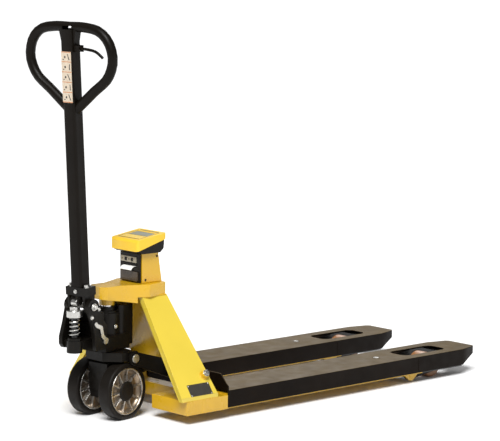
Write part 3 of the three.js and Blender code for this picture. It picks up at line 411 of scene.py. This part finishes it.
# Transport boss on each leg: a short turned stub welded to the leg's face, painted yellow, with a
# zinc-plated hexagon bolt and washer on its end. The near leg also carries a blank rating plate.
slope = math.atan2(206.2, 287.0)
ahead_x = np.array([1.0, 0.0, 0.0])
for hand in ("left", "right"):
    s = 1 if hand == "left" else -1
    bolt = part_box("leg_bolt_" + hand)
    out = np.array([0.0, s * math.cos(slope), math.sin(slope)])
    rise = np.array([0.0, -s * math.sin(slope), math.cos(slope)])
    middle = (np.asarray(bolt[0]) + np.asarray(bolt[1])) / 2 - 0.004 * out
    on_leg = (middle, ahead_x, rise, out)
    built("leg_boss_" + hand, [turned([(0, 0.2), (14.5, 0.2), (14.5, 3), (12.5, 4), (12.5, 15), (11.5, 16),
                                       (0, 16)], on_leg, 48)],
          yellow_paint, "chassis")
    built("leg_boss_bolt_" + hand, [
        turned([(0, 16.2), (11, 16.2), (11, 17.4), (10.4, 17.9), (0, 17.9)], on_leg, 40),
        turned([(0, 17.9), (8.6, 17.9), (8.6, 22.4), (7.4, 23.4), (0, 23.4)], on_leg, 6)],
        zinc, "chassis", bevel=0.0003, replaces=("leg_bolt_" + hand,))
plate_dark = coat("rating_plate_dark", (0.055, 0.050, 0.040), 0.42, metallic=0.3, cloud=(40.0, 0.12),
                  grain=(1400.0, 0.2, 0.0001))
out = np.array([0.0, -math.cos(slope), math.sin(slope)])
rise = np.array([0.0, math.sin(slope), math.cos(slope)])
foot_at = np.array([king_x, -0.275, 0.085])
place = (foot_at, ahead_x, rise, out)
built("rating_plate", [slab(rounded(110, 198, 2, 43, 1.5), 0.15, 0.9, place)], plate_dark, "chassis",
      bevel=0.0002)
built("rating_plate_rivets", [turned([(0, 2.2), (1.2, 2.0), (2.2, 1.3), (2.4, 0.8), (0, 0.8)],
                                     (foot_at + u * ahead_x + v * rise, ahead_x, rise, out), 16)
                              for u, v in ((0.114, 0.006), (0.194, 0.006), (0.114, 0.039), (0.194, 0.039))],
      zinc, "chassis")

# Lifting linkage: the crank, the yoke, the push rods and the roller brackets are black painted
# steel, the pins and axles are zinc-plated, and the load rollers are cast brown polyurethane.
linkage_black = coat("linkage_black_paint", (0.0052, 0.0042, 0.0030), 0.38, specular=0.16, cloud=(20.0, 0.2),
                     grain=(320.0, 0.25, 0.0006))
roller_brown = coat("roller_polyurethane", (0.27, 0.12, 0.045), 0.36, cloud=(30.0, 0.12),
                    grain=(240.0, 0.12, 0.0003))
dressed("crank", linkage_black, "crank", 0.0015)
dressed("yoke", linkage_black, "yoke", 0.0020, 3)
for hand in ("left", "right"):
    dressed("yoke_pin_" + hand, zinc, "yoke", 0.0010)
    dressed("push_rod_" + hand, linkage_black, "push_rod_" + hand, 0.0010)
    dressed("roller_bracket_" + hand, linkage_black, "roller_bracket_" + hand, 0.0012)
    dressed("roller_axle_" + hand, zinc, "roller_bracket_" + hand, 0.0010)
    dressed("load_roller_" + hand, roller_brown, "load_roller_" + hand, 0.0016, 3)

# Pump: a black painted iron casting on the wheel axle, with a chromed ram that stands under the
# hood and a piston with a bright cap over a near-black body, painted shade inside its spring. The rough cast
# skin shows under the paint.
cast_black = coat("pump_cast_black", (0.0052, 0.0042, 0.0030), 0.40, clear=0.03, specular=0.16,
                  cloud=(16.0, 0.25), grain=(170.0, 0.35, 0.0010), shine=0.12)
chrome = coat("polished_chrome", (0.82, 0.82, 0.84), 0.09, metallic=1.0, cloud=(40.0, 0.05),
              grain=(900.0, 0.04, 0.0001), shine=0.04)
dressed("pump_body", cast_black, "pump", 0.0012, 3)
dressed("wheel_axle", zinc, "pump", 0.0010)
dressed("ram", chrome, "chassis", 0.0008)
# The piston's body is near-black up to its bright cap: painted shade inside the spring.
piston_painted_shade = coat("piston_steel_painted_shade", (0.010, 0.010, 0.010), 0.32, cloud=(50.0, 0.1), grain=(1200.0, 0.15, 0.0002),
               beyond=("Z", 0.329, (0.66, 0.65, 0.62), 1.0))
dressed("piston", piston_painted_shade, "piston", 0.0020, 3)
steer_y = np.array(joint["wheel_spin_left"]["axis"])
steer_y /= np.linalg.norm(steer_y)
steer_x = np.cross(steer_y, up)
pin_at = np.array([king_x, 0.0, 0.0])


def steered(x, y, z):
    """Row position of a point in mm given from the king pin in the turned steering's own frame."""
    return pin_at + (x * steer_x + y * steer_y) / 1000 + z / 1000 * up


# Fixings of the pump: zinc-plated hexagon bolts on the cheeks and the tank, each on a washer, and
# the black filler cap; beside them the zinc-plated release strip and the piston's coil spring.
def hex_head(at, axis, across, height, washer):
    """Grids of a washer and a hexagon head, sizes in mm, standing on a point along an axis."""
    axis = np.asarray(axis, dtype=np.float64)
    ex = np.cross(axis, up if abs(axis[2]) < 0.9 else steer_x)
    ex /= np.linalg.norm(ex)
    ey = np.cross(axis, ex)
    where = (at, ex, ey, axis)
    return [turned([(0, 0.1), (washer, 0.1), (washer, 1.4), (washer - 0.4, 1.8), (0, 1.8)], where, 32),
            turned([(0, 1.8), (across, 1.8), (across, height),
                    (across - 1.1, height + 0.9), (0, height + 0.9)], where, 6)]


built("pump_bolts", hex_head(steered(-6, -41.5, 287), -steer_y, 5.2, 5.5, 7.0)
      + hex_head(steered(-124, -50, 330), -steer_y, 4.6, 4.5, 6.2)
      + hex_head(steered(-92, -50, 352), -steer_y, 4.0, 4.0, 5.6)
      + hex_head(steered(-124, 50, 330), steer_y, 4.6, 4.5, 6.2)
      + hex_head(steered(-146, 50, 268), steer_y, 4.6, 4.5, 6.2),
      zinc, "pump", bevel=0.0002)
built("pump_filler_cap", [turned([(0, 7), (6.5, 7), (7.5, 6), (7.5, 1), (9, 0.5), (9, -1), (0, -1)],
                                 (steered(62, 26, 349), steer_x, steer_y, up), 24)],
      cast_black, "pump", bevel=0.0003)
dressed("release_strip", zinc, "release_strip", 0.0008)
dressed("piston_spring", zinc, "piston", 0)

# Steering wheels: black rubber tyres on cast aluminium hubs with ribs between the rim and the boss,
# and a black cap over each bearing. They turn on the ends of the pump's axle.
tyre_black = coat("tyre_rubber", (0.0068, 0.0050, 0.0034), 0.50, specular=0.18, cloud=(14.0, 0.2),
                  grain=(380.0, 0.25, 0.0004))
hub_alloy = coat("wheel_alloy", (0.55, 0.53, 0.50), 0.30, metallic=1.0, cloud=(22.0, 0.12),
                 grain=(500.0, 0.12, 0.0003))
# The web between the ribs is coloured dark bronze: painted shade between the ribs. The rim, ribs and boss are
# the bright alloy.
web_painted_shade = coat("wheel_web_painted_shade", (0.27, 0.21, 0.15), 0.36, metallic=0.85, cloud=(26.0, 0.25),
                  grain=(300.0, 0.22, 0.0004))
for hand in ("left", "right"):
    outwards = steer_y if hand == "left" else -steer_y
    where = (np.array(joint["wheel_spin_" + hand]["pos_m"]), steer_x, up, outwards)
    body = "wheel_" + hand
    built("tyre_" + hand, [turned([(73.3, -21), (75, -21.8), (83, -22), (86.6, -20.8), (88.2, -18.2),
                                   (88.5, -15), (88.5, 15), (88.2, 18.2), (86.6, 20.8), (83, 22),
                                   (78.4, 22), (78, 21.5), (77.6, 22), (75, 21.8), (73.3, 21),
                                   (73.3, -21)], where, 128)],
          tyre_black, body, replaces=("wheel_tyre_" + hand,), angle=50)
    built("wheel_web_" + hand, [turned([(10.6, 5), (31, 5), (34, 3.5), (58, 4.5), (62, 6), (66.5, 12),
                                        (68.2, 17), (68.2, -17), (66.5, -12), (62, -6), (58, -4.5),
                                        (34, -3.5), (31, -5), (10.6, -5), (10.6, 5)], where, 96)],
          web_painted_shade, body, replaces=("wheel_hub_" + hand,), angle=50)
    built("wheel_rim_" + hand, [turned([(68.4, -17), (68.4, -20.6), (69.6, -21.8), (72.3, -21.8),
                                        (73.0, -21.1), (73.0, 21.1), (72.3, 22.3), (69.6, 22.3),
                                        (68.4, 21.1), (68.4, 17), (68.4, -17)], where, 96)],
          hub_alloy, body, angle=50)
    inner_boss = turned([(10.6, -5), (10.6, -20), (27, -20), (29, -18.5), (30.5, -5)], where, 64)
    outer_boss = turned([(10.6, 5), (10.6, 19), (28, 19), (30, 18), (31, 5)], where, 64)
    built("wheel_hub_boss_" + hand, [inner_boss, outer_boss], hub_alloy, body, angle=50)
    radius = np.array([28.0, 36.0, 48.0, 60.0, 68.6])[:, None]
    low_half = np.array([6.2, 5.8, 5.2, 4.6, 4.4])[:, None]
    top_half = np.array([2.4, 2.1, 1.8, 1.6, 1.6])[:, None]
    crest = np.array([18.0, 16.0, 14.4, 15.0, 17.0])[:, None]
    across = np.concatenate([-low_half, -top_half, top_half, low_half], axis=1)
    height = np.concatenate([0 * crest + 1.0, crest, crest, 0 * crest + 1.0], axis=1)
    rib_count = 10
    ribs = []
    for i in range(rib_count):
        a = math.radians(360 / rib_count * i + 9)
        radial = math.cos(a) * where[1] + math.sin(a) * where[2]
        sideways = -math.sin(a) * where[1] + math.cos(a) * where[2]
        for face in (1, -1):
            ribs.append(where[0] + (radius[..., None] * radial + across[..., None] * sideways
                                    + face * height[..., None] * where[3]) / 1000)
    built("wheel_ribs_" + hand, ribs, hub_alloy, body, bevel=0.0005, angle=30)
    built("wheel_cap_" + hand, [turned([(0, 26.2), (9, 25.8), (18, 24.5), (25, 22.6), (26, 22.9),
                                        (27, 22.2), (30, 20.8), (31.2, 19.4), (31.2, 17.5),
                                        (0, 17.5)], where, 64)],
          tyre_black, body, angle=50)

# Handle: a square steel tube with a bent grip loop welded on, painted black, bolted to a cast foot
# that tilts on its pin. Three bolts and a pin nut are zinc-plated.
handle_black = coat("handle_black_paint", (0.0052, 0.0036, 0.0022), 0.42, clear=0.02, specular=0.12,
                    cloud=(8.0, 0.2), grain=(500.0, 0.10, 0.0003))
dressed("handle_grip", handle_black, "handle", 0.0010)
dressed("handle_foot", cast_black, "handle", 0.0020, 3)
lean = math.asin(-joint["lever_pull"]["axis"][2])
handle_x = math.cos(lean) * steer_x + math.sin(lean) * up
handle_z = -math.sin(lean) * steer_x + math.cos(lean) * up
pivot = np.array(joint["handle_tilt"]["pos_m"])


def on_handle(x, y, z):
    """Row position of a point in mm given from the handle's pivot in its own leaning frame."""
    return pivot + (x * handle_x + y * steer_y + z * handle_z) / 1000


built("handle_bolts", hex_head(on_handle(-10, -32, 60), handle_z, 6.2, 8.0, 8.4)
      + hex_head(on_handle(-10, 32, 60), handle_z, 6.2, 8.0, 8.4)
      + hex_head(on_handle(-24, 0, 47), -handle_x, 5.0, 4.0, 6.6),
      zinc, "handle", bevel=0.0003)
built("handle_pin_nut", hex_head(on_handle(0, -54, 0), -steer_y, 8.2, 7.0, 10.5), zinc, "handle",
      bevel=0.0004)
dressed("handle_pin", zinc, "handle", 0.0010)
dressed("press_roller", zinc, "press_roller", 0.0012)
dressed("control_lever", handle_black, "control_lever", 0.0008)

# Instruction strip down the operator's face of the tube: a printed film in five plain cells, each a
# pale panel with two dark shapes, with thin orange lines between; it carries no words.
film = coat("instruction_film", (0.62, 0.52, 0.40), 0.45, cloud=(240.0, 0.12), grain=(900.0, 0.05, 0.0001))
film_orange = coat("instruction_orange", (0.55, 0.17, 0.035), 0.45, cloud=(120.0, 0.08))
film_ink = coat("instruction_ink", (0.05, 0.045, 0.04), 0.45, cloud=(160.0, 0.2))
face_at = (on_handle(-22, 0, 0), steer_y, handle_z, -handle_x)
built("label_film", [slab(rounded(-19.5, 19.5, 624, 777, 1.5), 0.05, 0.30, face_at)], film, "handle")
built("label_lines", [slab([(-19, z - 0.9), (19, z - 0.9), (19, z + 0.9), (-19, z + 0.9)],
                           0.30, 0.42, face_at)
                      for z in (625.5, 655.2, 685.6, 716.0, 746.4, 775.5)],
      film_orange, "handle")
marks = []
for z, tip in ((640.4, 4), (670.4, -3), (700.8, 5), (731.2, -4), (761.0, 3)):
    marks.append(slab([(-14, z - 9), (-10, z - 9), (-7 + tip, z + 8), (-10 + tip, z + 9)],
                      0.30, 0.40, face_at))
    marks.append(slab(rounded(2, 8, z - 4, z + 3, 2.5), 0.30, 0.40, face_at))
    marks.append(slab([(9, z - 9), (14, z - 9), (14, z - 6), (9, z - 6)], 0.30, 0.40, face_at))
built("label_shapes", marks, film_ink, "handle")

# Head: a yellow sheet-steel column with the black moulded printer panel on its front, its paper,
# buttons, beige strip and smoked door, and the indicator's two plastic shells and window on top.
panel_black = coat("printer_black_plastic", (0.010, 0.0085, 0.0070), 0.48, specular=0.20, cloud=(30.0, 0.15),
                   grain=(1100.0, 0.30, 0.0002))
paper_white = coat("ticket_paper", (0.88, 0.87, 0.83), 0.85, cloud=(60.0, 0.02),
                   grain=(1500.0, 0.2, 0.0001))
button_grey = coat("button_dark_plastic", (0.05, 0.05, 0.05), 0.4, cloud=(60.0, 0.1))
shell_yellow = coat("indicator_yellow_plastic", (0.86, 0.54, 0.03), 0.42, cloud=(12.0, 0.03),
                    grain=(1400.0, 0.25, 0.0002))
screen_grey = coat("display_window", (0.33, 0.34, 0.27), 0.15, cloud=(20.0, 0.05),
                   grain=(300.0, 0.02, 0.0001))
dressed("column_housing", yellow_paint, "chassis", 0.0014)
beige = coat("printer_label_beige", (0.42, 0.38, 0.29), 0.5, cloud=(50.0, 0.06))
panel_front = np.array([king_x + 0.093, 0.0, 0.0])
printer_at = (panel_front, np.array([0.0, 1.0, 0.0]), up, np.array([-1.0, 0.0, 0.0]))


def on_panel(y):
    """Frame of a round piece on the panel's row of buttons, y metres to the side."""
    return (panel_front + np.array([0, y, 0.482]), *printer_at[1:])


built("printer_strip", [slab([(u0, v0), (u1, v0), (u1, v1), (u0, v1)], 0.05, 0.8, printer_at)
                        for u0, u1, v0, v1 in ((-31, -15.6, 473.5, 491), (-4.4, 14.4, 473.5, 491),
                                               (25.6, 45, 473.5, 491), (-15.6, -4.4, 473.5, 476.4),
                                               (-15.6, -4.4, 487.6, 491), (14.4, 25.6, 473.5, 476.4),
                                               (14.4, 25.6, 487.6, 491))], beige, "chassis")
for letter, y in (("a", 0.020), ("b", -0.010)):
    built("printer_button_cap_" + letter,
          [turned([(0, 2.9), (3.6, 2.8), (4.6, 2.6), (4.6, 2.42), (0, 2.42)], on_panel(y), 24)],
          panel_black, "printer_button_" + letter)
built("printer_lamps", [turned([(0, 1.6), (1.6, 1.5), (2.4, 0.7), (0, 0.7)], on_panel(y), 16)
                        for y in (0.038, 0.005)], panel_black, "chassis")
dressed("battery", panel_black, "chassis", 0.0015)
dressed("printer_panel", panel_black, "chassis", 0.0008)
door_brown = coat("printer_door_smoke", (0.055, 0.040, 0.026), 0.30, cloud=(20.0, 0.15),
                  grain=(900.0, 0.1, 0.0001))
dressed("printer_door", door_brown, "printer_door", 0.0008)
dressed("paper_strip", paper_white, "chassis", 0)
dressed("paper_roll", paper_white, "chassis", 0.0003)
dressed("printer_button_a", button_grey, "printer_button_a", 0.0006)
dressed("printer_button_b", button_grey, "printer_button_b", 0.0006)
dressed("indicator_lower", panel_black, "chassis", 0.0030, 3)
dressed("indicator_upper", shell_yellow, "chassis", 0.0022, 3)
dressed("indicator_screen", screen_grey, "chassis", 0.0004)

# Indicator face: twelve pale key fields in two rows ahead of the window, and thin dark lines round
# the face and between the keys and the window. Four small black screws hold the column's sides.
trim_dark = coat("indicator_border_dark", (0.10, 0.075, 0.02), 0.45, cloud=(60.0, 0.1))
key_pale = coat("indicator_key_film", (0.80, 0.62, 0.16), 0.40, cloud=(80.0, 0.05))
pitch = math.atan(0.147)
top_x = np.array([math.cos(pitch), 0.0, math.sin(pitch)])
top_out = np.array([-math.sin(pitch), 0.0, math.cos(pitch)])
top_at = (np.array([king_x + 0.078, 0.0, 0.549]), top_x, np.array([0.0, 1.0, 0.0]), top_out)
edges = ((8, 11.5, -50, 50), (92, 96.5, -44, 44), (42.5, 44.2, -47, 47), (11.5, 92, 49, 50.6),
         (11.5, 92, -50.6, -49))
built("indicator_border", [slab([(u0, v0), (u1, v0), (u1, v1), (u0, v1)], 0.02, 0.35, top_at)
                           for u0, u1, v0, v1 in edges],
      trim_dark, "chassis")
built("indicator_keys", [slab(rounded(u, u + 10.5, v, v + 12, 2.0), 0.02, 0.5, top_at)
                         for u in (16, 29) for v in (-44, -28, -12, 4, 20, 34)],
      key_pale, "chassis", bevel=0.0002)
built("column_screws", [turned([(0, 1.8), (2.0, 1.6), (3.4, 0.9), (3.8, 0.1), (0, 0.1)],
                               (np.array([king_x + x / 1000, y * 0.0515, z / 1000]), ahead_x, up,
                                np.array([0.0, y, 0.0])), 20)
                        for x, z in ((112, 421), (158, 492)) for y in (-1.0, 1.0)],
      panel_black, "chassis")
